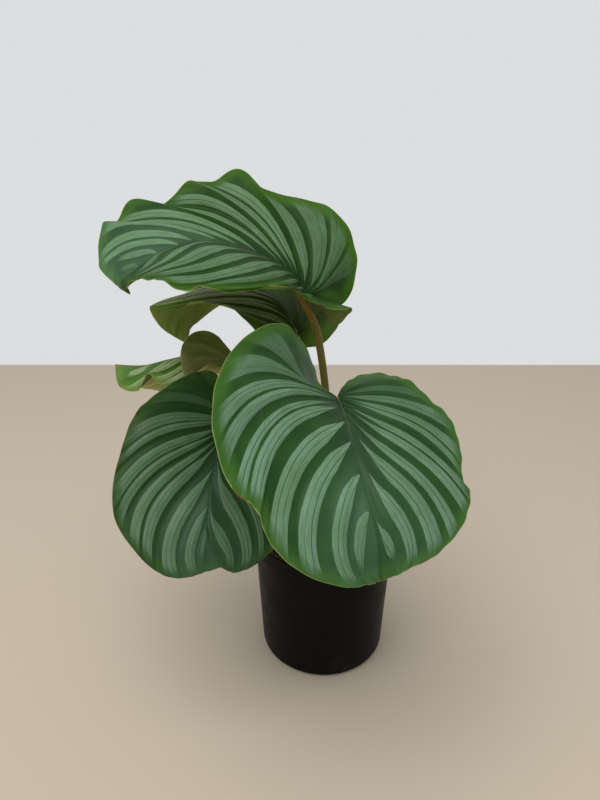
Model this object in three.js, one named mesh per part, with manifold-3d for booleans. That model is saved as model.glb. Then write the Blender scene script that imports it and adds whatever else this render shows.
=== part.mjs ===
// A potted calathea orbifolia: a black nursery pot filled with potting mix,
// and five round, ribbed leaves, each a blade on a stalk of its own.
// Millimetres, +Z up. The origin is the middle of the pot's flat underside.
// Seen from the front, +X is to the right and +Y goes away from the viewer.
import * as THREE from "three";
import { mergeVertices } from "three/addons/utils/BufferGeometryUtils.js";
import Module from "manifold-3d";

const wasm = await Module();
wasm.setup();

// Clearance between pieces that touch
const GAP = 0.3;

// Pot
const POT_HEIGHT = 150;
const POT_SIDES = 48;
const RIM_RADIUS = 78;
const RIM_DEPTH = 17;
const RIM_ROUNDING = 1;
const BODY_TOP_RADIUS = 75;
const FOOT_RADIUS = 68.5;
const FOOT_ROUNDING = 7;
const WALL = 2;
const DRAIN_COUNT = 8;
const DRAIN_RADIUS = 5;
const DRAIN_CIRCLE = 48;

// Potting mix
const MIX_LEVEL = 130;
const MIX_SIDES = 40;
const MIX_RINGS = 9;
const CRUMB_HEIGHT = 2.5;
const ROOT_DEPTH = 26;

// Stalks
const STALK_SIDES = 10;
const STALK_STEPS = 22;
const SHEATH_RADIUS = 6.5;
const STALK_RADIUS = 3.7;
const PULVINUS_RADIUS = 4.4;
const STALK_END_RADIUS = 1.6;

// Blades
const BLADE_THICKNESS = 0.9;
const KEEL_DEPTH = 3;
const RIB_COUNT = 11;
const RIB_HEIGHT = 0.8;
const ROWS_PER_RIB = 3;
const ROWS = RIB_COUNT * ROWS_PER_RIB;
const COLUMNS = [0, 0.05, 0.2, 0.4, 0.62, 0.83, 1];
const VEIN_SWEEP = 0.16;
const WAVE_SPAN = 0.09;
const GATHER_RISE = 0.055;
const GATHER_FALL = [0.17, 0.42];

// Colours
const POT_BLACK = 0x151516;
const MIX_BROWN = 0x2e2219;
const STALK_OLIVE = 0x6b6a34;

// Each leaf: its midrib from base to tip, the margin of its left and right
// half from beside the base to beside the tip, and how far each half arches
// up between midrib and margin, as a share of its width, from base to tip.
// Left is the leaf's own left, looking from its base to its tip. The higher
// its fan, the more of its veins leave the midrib close to the base.
const LEAVES = [
  {
    name: "front_leaf",
    colour: 0x4d8350,
    fan: 3.6,
    root: [4, -14],
    stalk: [
      [8, -30, 215],
      [9, -52, 300],
    ],
    midrib: [
      [7, -63, 326],
      [11, -105, 326],
      [15, -143, 319],
      [20, -169, 306],
      [25, -190, 288],
      [29, -205, 268],
      [32, -209, 242],
    ],
    left: [
      [12, -46, 328],
      [27, -28, 333],
      [56, -32, 336],
      [74, -46, 334],
      [92, -68, 323],
      [105, -92, 312],
      [107, -114, 297],
      [105, -138, 283],
      [108, -152, 275],
      [95, -176, 265],
      [76, -196, 258],
      [55, -210, 256],
      [43, -214, 252],
    ],
    right: [
      [-13, -42, 332],
      [-15, -32, 350],
      [-39, -58, 391],
      [-66, -98, 394],
      [-83, -140, 381],
      [-87, -180, 357],
      [-73, -207, 319],
      [-56, -214, 307],
      [-49, -220, 289],
      [-34, -226, 271],
      [-14, -225, 256],
      [9, -219, 245],
      [24, -213, 243],
    ],
    leftArch: [0.16, 0.18, 0.1],
    rightArch: [0, 0.2, 0.26, 0.2, 0.1],
    rightGather: [-11.5, -13.3, -3.6],
  },
  {
    name: "top_leaf",
    colour: 0x4b7f4d,
    fan: 3.6,
    root: [8, 4],
    stalk: [
      [4, 1, 260],
      [-8, -4, 360],
    ],
    midrib: [
      [-18, -11, 403],
      [-31, -10, 423],
      [-47, -14, 436],
      [-70, -22, 447],
      [-100, -32, 457],
      [-120, -43, 457],
      [-141, -56, 451],
      [-159, -68, 439],
      [-170, -76, 431],
      [-166, -66, 418],
    ],
    left: [
      [-5, 10, 387],
      [11, 16, 371],
      [24, 8, 389],
      [7, -14, 392],
      [-18, -36, 407],
      [-43, -60, 425],
      [-61, -84, 426],
      [-80, -98, 427],
      [-98, -104, 432],
      [-116, -104, 430],
      [-133, -98, 436],
      [-147, -92, 436],
      [-163, -84, 430],
    ],
    right: [
      [-1, 14, 394],
      [19, 26, 391],
      [30, 42, 427],
      [22, 54, 458],
      [-1, 62, 479],
      [-28, 66, 486],
      [-60, 68, 493],
      [-85, 72, 513],
      [-111, 64, 501],
      [-133, 54, 502],
      [-156, 44, 482],
      [-182, 32, 487],
      [-196, 16, 468],
      [-204, 2, 466],
      [-200, -34, 439],
      [-180, -62, 427],
    ],
    leftArch: [0.1, 0.2, 0.12],
    rightArch: [0.12, 0.12, 0.1],
  },
  {
    name: "side_leaf",
    colour: 0x3f7143,
    fan: 3.6,
    root: [-13, -7],
    stalk: [
      [-34, -8, 185],
      [-70, -4, 250],
    ],
    midrib: [
      [-90, -10, 282],
      [-102, -32, 268],
      [-106, -52, 255],
      [-109, -72, 242],
      [-109, -88, 231],
      [-109, -103, 216],
      [-104, -113, 200],
      [-97, -118, 184],
    ],
    left: [
      [-76, -6, 285],
      [-52, -2, 294],
      [-32, -10, 284],
      [-23, -28, 262],
      [-22, -46, 238],
      [-28, -66, 215],
      [-41, -86, 197],
      [-55, -102, 186],
      [-72, -110, 177],
      [-86, -115, 176],
    ],
    right: [
      [-95, -8, 303],
      [-108, -4, 327],
      [-127, -6, 329],
      [-149, -18, 322],
      [-169, -34, 311],
      [-181, -54, 299],
      [-187, -76, 278],
      [-191, -96, 256],
      [-187, -113, 229],
      [-167, -127, 205],
      [-150, -131, 189],
      [-131, -132, 183],
      [-112, -126, 184],
    ],
    leftArch: [0.1, 0.16, 0.1],
    rightArch: [0.1, 0.16, 0.1],
  },
  {
    name: "rear_leaf",
    colour: 0x44703d,
    fan: 3.6,
    root: [-1, 22],
    stalk: [
      [-2, 24, 215],
      [-26, 22, 320],
    ],
    midrib: [
      [-28, 20, 359],
      [-43, 36, 385],
      [-65, 60, 397],
      [-95, 84, 398],
      [-121, 102, 390],
      [-139, 114, 374],
      [-151, 120, 355],
      [-157, 119, 337],
      [-159, 115, 322],
    ],
    left: [
      [-35, 18, 342],
      [-51, 8, 345],
      [-63, 0, 360],
      [-72, -2, 374],
      [-83, 4, 383],
      [-96, 14, 390],
      [-114, 30, 388],
      [-133, 48, 387],
      [-157, 62, 375],
      [-180, 80, 371],
      [-192, 96, 370],
      [-193, 108, 356],
      [-184, 114, 339],
      [-170, 116, 328],
    ],
    right: [
      [-20, 36, 341],
      [-3, 52, 340],
      [15, 74, 354],
      [18, 98, 377],
      [-6, 126, 405],
      [-49, 146, 415],
      [-90, 154, 409],
      [-118, 152, 388],
      [-132, 144, 363],
      [-135, 138, 353],
      [-145, 132, 344],
      [-154, 126, 338],
      [-158, 120, 330],
    ],
    leftArch: [0.12, 0.14, 0.08],
    rightArch: [0.12, 0.14, 0.08],
  },
  {
    name: "young_leaf",
    colour: 0x6f9a4a,
    fan: 2.2,
    root: [-17, 11],
    stalk: [
      [-30, 24, 210],
      [-66, 56, 285],
    ],
    midrib: [
      [-87, 62, 310],
      [-103, 54, 319],
      [-117, 48, 328],
      [-132, 42, 335],
      [-150, 38, 331],
      [-167, 38, 327],
      [-193, 40, 320],
      [-221, 42, 321],
    ],
    left: [
      [-99, 56, 326],
      [-110, 46, 348],
      [-120, 38, 358],
      [-133, 30, 359],
      [-142, 18, 352],
      [-144, 6, 338],
      [-142, 4, 312],
      [-166, 8, 311],
      [-180, 14, 320],
      [-194, 18, 300],
      [-215, 28, 302],
    ],
    right: [
      [-91, 70, 293],
      [-107, 74, 297],
      [-125, 76, 298],
      [-142, 72, 298],
      [-155, 68, 293],
      [-168, 62, 286],
      [-181, 60, 284],
      [-193, 58, 287],
      [-204, 54, 291],
      [-217, 48, 304],
    ],
    leftArch: [0.1, 0.05, 0],
    rightArch: [0.05, -0.05, -0.15],
  },
];

const UP = new THREE.Vector3(0, 0, 1);

function vector([x, y, z]) {
  return new THREE.Vector3(x, y, z);
}

function curveThrough(points) {
  return new THREE.CatmullRomCurve3(points.map(vector), false, "catmullrom");
}

// Value of a list of evenly spaced numbers at a share from 0 to 1.
function valueAlong(values, share) {
  const place = Math.min(share, 1) * (values.length - 1);
  const before = Math.min(Math.floor(place), values.length - 2);
  return THREE.MathUtils.lerp(values[before], values[before + 1], place - before);
}

// Solids and geometries

function geometryFrom(positions, triangles) {
  const geometry = new THREE.BufferGeometry();
  geometry.setAttribute("position", new THREE.Float32BufferAttribute(positions, 3));
  geometry.setIndex(triangles);
  return geometry;
}

function solidFrom(geometry) {
  const bare = geometry.clone();
  bare.deleteAttribute("normal");
  bare.deleteAttribute("uv");
  const merged = mergeVertices(bare, 1e-4);
  const corners = merged.index.array;
  const kept = [];
  for (let i = 0; i < corners.length; i += 3) {
    const [a, b, c] = corners.slice(i, i + 3);
    if (a !== b && b !== c && c !== a) kept.push(a, b, c);
  }
  const mesh = new wasm.Mesh({
    numProp: 3,
    vertProperties: merged.attributes.position.array,
    triVerts: new Uint32Array(kept),
  });
  return new wasm.Manifold(mesh);
}

// The largest body of a solid, without the scraps that a cut can leave.
function largestBody(solid) {
  const bodies = solid.decompose();
  bodies.sort((a, b) => b.volume() - a.volume());
  return bodies[0];
}

function meshFrom(name, solid, material) {
  const { vertProperties, triVerts } = solid.getMesh();
  const geometry = geometryFrom(vertProperties, Array.from(triVerts));
  geometry.computeVertexNormals();
  const mesh = new THREE.Mesh(geometry, material);
  mesh.name = name;
  return mesh;
}

// A profile of (radius, height) points turned round the Z axis.
function turned(profile, sides) {
  return new THREE.LatheGeometry(profile, sides).rotateX(Math.PI / 2);
}

// Pot

function innerRadius(height) {
  const straightTop = POT_HEIGHT - RIM_DEPTH;
  const share = THREE.MathUtils.clamp(height / straightTop, 0, 1);
  return THREE.MathUtils.lerp(FOOT_RADIUS, BODY_TOP_RADIUS, share) - WALL;
}

function makePot() {
  const underRim = POT_HEIGHT - RIM_DEPTH;
  const outline = new THREE.Path();
  outline.moveTo(0, 0);
  outline.lineTo(FOOT_RADIUS - FOOT_ROUNDING, 0);
  outline.absarc(FOOT_RADIUS - FOOT_ROUNDING, FOOT_ROUNDING, FOOT_ROUNDING, -Math.PI / 2, 0);
  outline.lineTo(BODY_TOP_RADIUS, underRim - RIM_ROUNDING);
  outline.lineTo(RIM_RADIUS, underRim + RIM_ROUNDING);
  outline.lineTo(RIM_RADIUS, POT_HEIGHT - RIM_ROUNDING);
  outline.lineTo(RIM_RADIUS - RIM_ROUNDING, POT_HEIGHT);
  outline.lineTo(RIM_RADIUS - WALL, POT_HEIGHT);
  outline.lineTo(RIM_RADIUS - WALL, underRim + WALL);
  outline.lineTo(innerRadius(underRim), underRim);
  outline.absarc(
    innerRadius(FOOT_ROUNDING) - FOOT_ROUNDING + WALL,
    FOOT_ROUNDING,
    FOOT_ROUNDING - WALL,
    0,
    -Math.PI / 2,
    true,
  );
  outline.lineTo(0, WALL);
  let pot = solidFrom(turned(outline.getPoints(3), POT_SIDES));
  for (let hole = 0; hole < DRAIN_COUNT; hole += 1) {
    const angle = (hole / DRAIN_COUNT) * 2 * Math.PI;
    const drain = new THREE.CylinderGeometry(DRAIN_RADIUS, DRAIN_RADIUS, 4 * WALL, 12);
    drain.rotateX(Math.PI / 2);
    drain.translate(DRAIN_CIRCLE * Math.cos(angle), DRAIN_CIRCLE * Math.sin(angle), 0);
    pot = pot.subtract(solidFrom(drain));
  }
  return pot;
}

// Potting mix

// Height of the crumbled surface over its level, at a point in plan.
function crumbs(x, y) {
  const coarse = Math.sin(0.13 * x + 1.1) * Math.sin(0.11 * y - 0.6);
  const fine = Math.sin(0.41 * x + 0.23 * y) * Math.sin(0.37 * y - 0.19 * x + 0.8);
  return CRUMB_HEIGHT * (1 + 0.5 * coarse + 0.5 * fine);
}

function makeMix(stalkHoles) {
  const floor = WALL + GAP;
  const cornerRadius = innerRadius(floor) - FOOT_ROUNDING + WALL;
  const topRadius = innerRadius(MIX_LEVEL) - GAP;
  const profile = [new THREE.Vector2(0, floor)];
  profile.push(new THREE.Vector2(cornerRadius, floor));
  profile.push(new THREE.Vector2(innerRadius(FOOT_ROUNDING) - GAP, FOOT_ROUNDING + GAP));
  for (let ring = 0; ring <= MIX_RINGS; ring += 1) {
    profile.push(new THREE.Vector2(topRadius * (1 - ring / MIX_RINGS), MIX_LEVEL));
  }
  const body = turned(profile, MIX_SIDES);
  const place = body.attributes.position;
  for (let i = 0; i < place.count; i += 1) {
    if (place.getZ(i) > MIX_LEVEL - GAP) {
      place.setZ(i, MIX_LEVEL + crumbs(place.getX(i), place.getY(i)));
    }
  }
  return stalkHoles.reduce((mix, hole) => mix.subtract(hole), solidFrom(body));
}

// Stalks

// The stalk runs from the mix to just under the base of its blade.
function stalkPath(leaf) {
  const [x, y] = leaf.root;
  const base = vector(leaf.midrib[0]);
  const ahead = curveThrough(leaf.midrib).getTangent(0);
  const under = UP.clone().addScaledVector(ahead, -UP.dot(ahead)).normalize();
  const end = base.clone().addScaledVector(ahead, 2 * PULVINUS_RADIUS);
  end.addScaledVector(under, -PULVINUS_RADIUS);
  return curveThrough([
    [x, y, MIX_LEVEL - ROOT_DEPTH],
    [x, y, MIX_LEVEL + 2 * CRUMB_HEIGHT],
    ...leaf.stalk,
    base.addScaledVector(under, -STALK_RADIUS).toArray(),
    end.toArray(),
  ]);
}

// Radius of a stalk at a share of its length: a sheath at the foot that thins
// out by a third of the way, and a pulvinus, a thicker joint, near the blade.
function stalkRadius(share) {
  const sheath = (SHEATH_RADIUS - STALK_RADIUS) * THREE.MathUtils.smoothstep(0.4 - share, 0, 0.3);
  const swelling = (PULVINUS_RADIUS - STALK_RADIUS) * THREE.MathUtils.smoothstep(share, 0.82, 0.88);
  const ending = (PULVINUS_RADIUS - STALK_END_RADIUS) * THREE.MathUtils.smoothstep(share, 0.93, 1);
  return STALK_RADIUS + sheath + swelling - ending;
}

function stalkSolid(leaf, clearance) {
  const path = stalkPath(leaf);
  const frames = path.computeFrenetFrames(STALK_STEPS, false);
  const positions = [];
  for (let step = 0; step <= STALK_STEPS; step += 1) {
    const share = step / STALK_STEPS;
    const centre = path.getPointAt(share);
    if (step === 0) centre.z -= clearance;
    const radius = stalkRadius(share) + clearance;
    for (let side = 0; side < STALK_SIDES; side += 1) {
      const angle = (side / STALK_SIDES) * 2 * Math.PI;
      const point = centre.clone();
      point.addScaledVector(frames.normals[step], radius * Math.cos(angle));
      point.addScaledVector(frames.binormals[step], radius * Math.sin(angle));
      positions.push(...point.toArray());
    }
  }
  const foot = path.getPointAt(0);
  foot.z -= clearance;
  const head = path.getPointAt(1).addScaledVector(frames.tangents[STALK_STEPS], clearance + GAP);
  positions.push(...foot.toArray(), ...head.toArray());
  return solidFrom(geometryFrom(positions, tubeTriangles(STALK_STEPS, STALK_SIDES)));
}

// Triangles of a tube of rings, with a middle point at its foot and its head.
function tubeTriangles(steps, sides) {
  const triangles = [];
  const foot = (steps + 1) * sides;
  const head = foot + 1;
  for (let side = 0; side < sides; side += 1) {
    const next = (side + 1) % sides;
    for (let step = 0; step < steps; step += 1) {
      const low = step * sides;
      const high = low + sides;
      triangles.push(low + side, low + next, high + next);
      triangles.push(low + side, high + next, high + side);
    }
    triangles.push(foot, next, side);
    triangles.push(head, steps * sides + side, steps * sides + next);
  }
  return triangles;
}

// Blades

// Share of the midrib at which the vein of a row leaves it. Most veins of a
// round leaf fan out close to its base.
function rootShare(leaf, row) {
  const share = row / ROWS;
  return 0.04 * share + 0.96 * share ** leaf.fan;
}

// A point of a margin with its waves smoothed out.
function smoothedPoint(margin, share) {
  const span = Math.min(WAVE_SPAN, share, 1 - share);
  const mean = margin.getPoint(share - span).add(margin.getPoint(share + span)).divideScalar(2);
  return mean.lerp(margin.getPoint(share), 0.5);
}

// The middle sheet of a blade: points in rows along its veins, row after row
// from base to tip, and its triangles, facing up.
function bladeSheet(leaf) {
  const midrib = curveThrough(leaf.midrib);
  const tip = leaf.midrib.at(-1);
  const halves = [
    { sign: 1, margin: curveThrough([...leaf.left, tip]), arch: leaf.leftArch, gather: [0, 0, 0] },
    {
      sign: -1,
      margin: curveThrough([...leaf.right, tip]),
      arch: leaf.rightArch,
      gather: leaf.rightGather ?? [0, 0, 0],
    },
  ];
  const crown = (row) => {
    const steady = THREE.MathUtils.clamp(row / ROWS, 0.3, 0.93);
    const across = halves[0].margin.getPoint(steady).sub(halves[1].margin.getPoint(steady));
    return midrib.getTangent(rootShare(leaf, row)).cross(across).normalize();
  };
  const points = [];
  const crowns = [];
  for (let row = 0; row <= ROWS; row += 1) {
    points.push(midrib.getPoint(rootShare(leaf, row)));
    crowns.push(crown(row));
  }
  const triangles = [];
  for (const { sign, margin, arch, gather } of halves) {
    const corner = [];
    for (let row = 0; row < ROWS; row += 1) {
      const share = row / ROWS;
      const root = points[row];
      const edge = margin.getPoint(share);
      const wave = edge.clone().sub(smoothedPoint(margin, share));
      const chord = edge.clone().sub(wave).sub(root);
      const up = crowns[row].clone().projectOnPlane(chord.clone().normalize()).normalize();
      const back = up.clone().cross(chord).multiplyScalar(sign);
      const fullness = THREE.MathUtils.smoothstep(share, 0, 0.25);
      const rise = valueAlong(arch, share) * chord.length() * fullness;
      const crest = RIB_HEIGHT * Math.cos(2 * Math.PI * RIB_COUNT * share) * fullness;
      const gathered =
        THREE.MathUtils.smoothstep(share, 0, GATHER_RISE) *
        (1 - THREE.MathUtils.smoothstep(share, ...GATHER_FALL));
      corner[row] = COLUMNS.map((out, column) => {
        if (column === 0) return row;
        const bow = 2 * out * (1 - out);
        const point = root.clone().addScaledVector(chord, out);
        point.addScaledVector(up, bow * rise - crest * Math.sin(Math.PI * out));
        point.addScaledVector(back, bow * VEIN_SWEEP * fullness);
        point.addScaledVector(wave, out ** 3);
        point.addScaledVector(new THREE.Vector3(...gather), 6.75 * out * (1 - out) ** 2 * gathered);
        points.push(point);
        return points.length - 1;
      });
    }
    corner[ROWS] = COLUMNS.map(() => ROWS);
    for (let row = 0; row < ROWS; row += 1) {
      for (let column = 0; column < COLUMNS.length - 1; column += 1) {
        const quad = [
          corner[row][column],
          corner[row + 1][column],
          corner[row + 1][column + 1],
          corner[row][column + 1],
        ];
        if (sign < 0) quad.reverse();
        const [a, b, c, d] = quad;
        for (const triangle of [[a, b, c], [a, c, d]]) {
          if (new Set(triangle).size === 3) triangles.push(triangle);
        }
      }
    }
  }
  return { points, crowns, triangles };
}

// Each point's normal, and at the midrib the crown of the blade there.
function sheetNormals({ points, crowns, triangles }) {
  const normals = points.map(() => new THREE.Vector3());
  for (const triangle of triangles) {
    const [a, b, c] = triangle.map((corner) => points[corner]);
    const face = b.clone().sub(a).cross(c.clone().sub(a));
    triangle.forEach((corner) => normals[corner].add(face));
  }
  return normals.map((normal, i) => (i < crowns.length ? crowns[i] : normal.normalize()));
}

// The blade as a solid: the sheet's two faces, split into like triangles, with
// a keel that runs under the midrib and gets lower towards the tip.
function bladeSolid(leaf) {
  const sheet = bladeSheet(leaf);
  const normals = sheetNormals(sheet);
  const positions = [];
  for (const side of [1, -1]) {
    sheet.points.forEach((point, i) => {
      const onKeel = side < 0 && i <= ROWS;
      const keel = onKeel ? KEEL_DEPTH * (1 - rootShare(leaf, i)) : 0;
      const away = side * (BLADE_THICKNESS / 2) - keel;
      positions.push(...point.clone().addScaledVector(normals[i], away).toArray());
    });
  }
  const below = sheet.points.length;
  const faces = [];
  const edges = new Set();
  for (const [a, b, c] of sheet.triangles) {
    faces.push(a, b, c);
    faces.push(below + c, below + b, below + a);
    for (const edge of [[a, b], [b, c], [c, a]]) edges.add(edge.join());
  }
  for (const edge of edges) {
    const [a, b] = edge.split(",").map(Number);
    if (edges.has([b, a].join())) continue;
    faces.push(a, below + a, below + b);
    faces.push(a, below + b, b);
  }
  return solidFrom(geometryFrom(positions, faces));
}

// The whole plant in its pot

const potMaterial = new THREE.MeshStandardMaterial({ color: POT_BLACK, roughness: 0.5 });
const mixMaterial = new THREE.MeshStandardMaterial({ color: MIX_BROWN, roughness: 1 });
const stalkMaterial = new THREE.MeshStandardMaterial({ color: STALK_OLIVE, roughness: 0.5 });

const plant = new THREE.Group();
plant.add(meshFrom("pot", makePot(), potMaterial));
const stalkHoles = LEAVES.map((leaf) => stalkSolid(leaf, GAP));
plant.add(meshFrom("potting_mix", makeMix(stalkHoles), mixMaterial));
LEAVES.forEach((leaf, i) => {
  const bladeMaterial = new THREE.MeshStandardMaterial({ color: leaf.colour, roughness: 0.45 });
  const blade = largestBody(bladeSolid(leaf).subtract(stalkHoles[i]));
  plant.add(meshFrom(leaf.name + "_blade", blade, bladeMaterial));
  plant.add(meshFrom(leaf.name + "_stalk", stalkSolid(leaf, 0), stalkMaterial));
});

export default plant;
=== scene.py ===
import math

import bmesh
import bpy
import numpy as np
from mathutils import Matrix, Vector, noise


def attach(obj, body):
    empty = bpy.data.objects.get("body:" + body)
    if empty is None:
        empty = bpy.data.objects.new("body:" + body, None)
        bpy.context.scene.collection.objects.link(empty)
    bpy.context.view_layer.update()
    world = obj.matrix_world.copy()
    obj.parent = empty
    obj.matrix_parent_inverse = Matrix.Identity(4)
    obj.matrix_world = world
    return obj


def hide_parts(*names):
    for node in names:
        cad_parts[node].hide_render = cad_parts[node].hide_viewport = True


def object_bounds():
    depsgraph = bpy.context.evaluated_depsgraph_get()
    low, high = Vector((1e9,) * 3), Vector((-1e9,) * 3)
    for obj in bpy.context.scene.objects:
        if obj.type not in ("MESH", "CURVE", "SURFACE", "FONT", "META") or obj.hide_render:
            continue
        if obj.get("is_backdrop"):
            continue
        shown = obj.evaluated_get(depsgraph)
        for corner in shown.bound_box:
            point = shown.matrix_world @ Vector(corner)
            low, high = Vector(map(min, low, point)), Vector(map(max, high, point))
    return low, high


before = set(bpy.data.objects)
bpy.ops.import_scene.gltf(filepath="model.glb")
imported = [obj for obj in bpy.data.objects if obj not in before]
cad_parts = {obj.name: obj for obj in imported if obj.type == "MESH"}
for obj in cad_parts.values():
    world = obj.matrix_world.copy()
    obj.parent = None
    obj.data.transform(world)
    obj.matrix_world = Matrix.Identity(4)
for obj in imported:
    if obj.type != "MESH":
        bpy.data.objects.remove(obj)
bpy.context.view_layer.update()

# Camera
# It stands about half a metre in front of the pot at the height of the top leaf, and looks 22 degrees down.
# Its 27 mm lens is that of a telephone held upright.
camera = bpy.data.objects.new("camera", bpy.data.cameras.new("camera"))
camera.location = (-0.026, -0.558, 0.525)
camera.rotation_euler = (math.radians(67.8), 0.0, 0.0)
camera.data.sensor_width = 36
camera.data.lens = 27
scene = bpy.context.scene
scene.collection.objects.link(camera)
scene.camera = camera

# Pot
# A 15 cm round nursery pot, injection moulded in one piece from black polypropylene, thin walled and tapered,
# with a rim band to lift it by and eight drainage holes in its underside.
MM = 0.001
POT_HEIGHT = 150
POT_SIDES = 160
RIM_RADIUS = 78
RIM_DEPTH = 17
BODY_TOP_RADIUS = 75
FOOT_RADIUS = 68.5
FOOT_ROUNDING = 7
WALL = 2
DRAIN_COUNT = 8
DRAIN_RADIUS = 5
DRAIN_CIRCLE = 48
DRAIN_SIDES = 32


def paint(shade):
    """The linear colour of an sRGB hex value."""
    made = []
    for shift in (16, 8, 0):
        level = (shade >> shift & 255) / 255
        made.append(level / 12.92 if level <= 0.04045 else ((level + 0.055) / 1.055) ** 2.4)
    return (*made, 1.0)


def add(tree, kind, sockets=None, out=None, **settings):
    """Adds a node with its settings, and gives each named or numbered input a value or a link. Gives back the
    output that is asked for, or else the first one that the settings leave in use."""
    made = tree.nodes.new(kind)
    for name, value in settings.items():
        setattr(made, name, value)
    for name, value in (sockets or {}).items():
        if isinstance(value, bpy.types.NodeSocket):
            tree.links.new(value, made.inputs[name])
        else:
            made.inputs[name].default_value = value
    if out is not None:
        return made.outputs[out]
    return next((socket for socket in made.outputs if socket.enabled), None)


def amount(tree, *factors):
    """How much of a finish shows: the product of its factors. A factor is a number, an output, or a value and
    the two measures between which it goes smoothly from 0 to 1, or from a fourth number to a fifth."""
    product = None
    for factor in factors:
        if isinstance(factor, tuple):
            factor = add(tree, "ShaderNodeMapRange", dict(enumerate(factor)), interpolation_type="SMOOTHSTEP")
        if product is not None:
            factor = add(tree, "ShaderNodeMath", {0: product, 1: factor}, operation="MULTIPLY")
        product = factor
    return product


def coated(tree, colour, *coats):
    """Lays coats over a first colour. Each coat is its own colour and the factors of how much of it shows."""
    for coat, *factors in coats:
        sockets = {0: amount(tree, *factors), 6: colour, 7: coat}
        colour = add(tree, "ShaderNodeMix", sockets, data_type="RGBA")
    return colour


def new_material(name):
    """An empty material and its node tree."""
    made = bpy.data.materials.new(name)
    made.use_nodes = True
    made.node_tree.nodes.clear()
    return made, made.node_tree


def rounded(corners, steps=6):
    """An outline of radius and height through corners of a radius, a height and a rounding each."""
    places = [Vector((radius, height)) for radius, height, _ in corners]
    outline = []
    for k, (radius, height, rounding) in enumerate(corners):
        if rounding == 0:
            outline.append((radius, height))
            continue
        start = (places[k - 1] - places[k]).normalized() * rounding + places[k]
        end = (places[k + 1] - places[k]).normalized() * rounding + places[k]
        for step in range(steps + 1):
            t = step / steps
            outline.append(tuple((1 - t) ** 2 * start + 2 * t * (1 - t) * places[k] + t * t * end))
    return outline


def turned(outline, sides):
    """Points and faces of an outline turned about the pot's axis, with a pole where its radius is 0."""
    points = []
    rings = []
    for radius, height in outline:
        if radius == 0:
            rings.append([len(points)] * sides)
            points.append((0.0, 0.0, height * MM))
            continue
        rings.append(list(range(len(points), len(points) + sides)))
        for side in range(sides):
            angle = 2 * math.pi * side / sides
            points.append((radius * math.cos(angle) * MM, radius * math.sin(angle) * MM, height * MM))
    faces = []
    for low, high in zip(rings, rings[1:]):
        for side in range(sides):
            after = (side + 1) % sides
            face = [low[side], low[after], high[after], high[side]]
            faces.append(list(dict.fromkeys(face)))
    return points, faces


def smooth_up_to(mesh, sharp):
    """Shades a mesh smooth, with hard edges only where it turns by more than sharp degrees."""
    shape = bmesh.new()
    shape.from_mesh(mesh)
    bmesh.ops.recalc_face_normals(shape, faces=shape.faces)
    for face in shape.faces:
        face.smooth = True
    for edge in shape.edges:
        edge.smooth = edge.calc_face_angle(0.0) < math.radians(sharp)
    shape.to_mesh(mesh)
    shape.free()


def piece_from(name, points, faces, material, sharp=40, marks=None):
    """A piece of these points and faces, smooth but for edges that turn by more than sharp degrees. Marks are
    values at its points for the material to read."""
    mesh = bpy.data.meshes.new(name)
    mesh.from_pydata([tuple(point) for point in points], [], faces)
    mesh.materials.append(material)
    piece = bpy.data.objects.new(name, mesh)
    scene.collection.objects.link(piece)
    smooth_up_to(mesh, sharp)
    for key, found in (marks or {}).items():
        flat = np.array(found, np.float32)
        kind, field = ("FLOAT", "value") if flat.ndim == 1 else ("FLOAT_VECTOR", "vector")
        mesh.attributes.new(key, kind, "POINT").data.foreach_set(field, flat.ravel())
    return piece


def settle(piece, sharp):
    """Turns a piece with its modifiers into a plain mesh, takes the modifiers off, and shades it smooth."""
    bpy.context.view_layer.update()
    depsgraph = bpy.context.evaluated_depsgraph_get()
    mesh = bpy.data.meshes.new_from_object(piece.evaluated_get(depsgraph))
    piece.modifiers.clear()
    piece.data = mesh
    smooth_up_to(mesh, sharp)


def fit(piece, slot, *nodes):
    """Fixes a piece to the plant, in the place of these CAD nodes, which it hides. The slot is not used."""
    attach(piece, "root")
    if nodes:
        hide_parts(*nodes)


# Black polypropylene from a fine matt mould: nearly black, a soft broad sheen, a grain too fine to see
# as dots, rubbed lighter in places, with a film of dried dust near the foot.
moulded_polypropylene, tree = new_material("moulded_black_polypropylene")
place = add(tree, "ShaderNodeTexCoord", out="Object")
height = add(tree, "ShaderNodeSeparateXYZ", {0: place}, "Z")
cloud = add(tree, "ShaderNodeTexNoise", {"Vector": place, "Scale": 38.0, "Detail": 7.0, "Roughness": 0.62})
speck = add(tree, "ShaderNodeTexNoise", {"Vector": place, "Scale": 420.0, "Detail": 3.0})
grain = add(tree, "ShaderNodeTexNoise", {"Vector": place, "Scale": 1900.0, "Detail": 2.0})
dust = (paint(0x302C26), (cloud, 0.48, 0.78), (height, 0.0, 0.05, 1.0, 0.25), speck)
plastic = add(tree, "ShaderNodeBsdfPrincipled", {
    "Base Color": coated(tree, paint(0x040504), dust),
    "Roughness": add(tree, "ShaderNodeMapRange", {0: cloud, 1: 0.3, 2: 0.7, 3: 0.36, 4: 0.56}),
    "Normal": add(tree, "ShaderNodeBump", {"Height": grain, "Strength": 0.25, "Distance": 0.00008}),
    "IOR": 1.49, "Specular IOR Level": 0.09,
})
add(tree, "ShaderNodeOutputMaterial", {"Surface": plastic})

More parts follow.
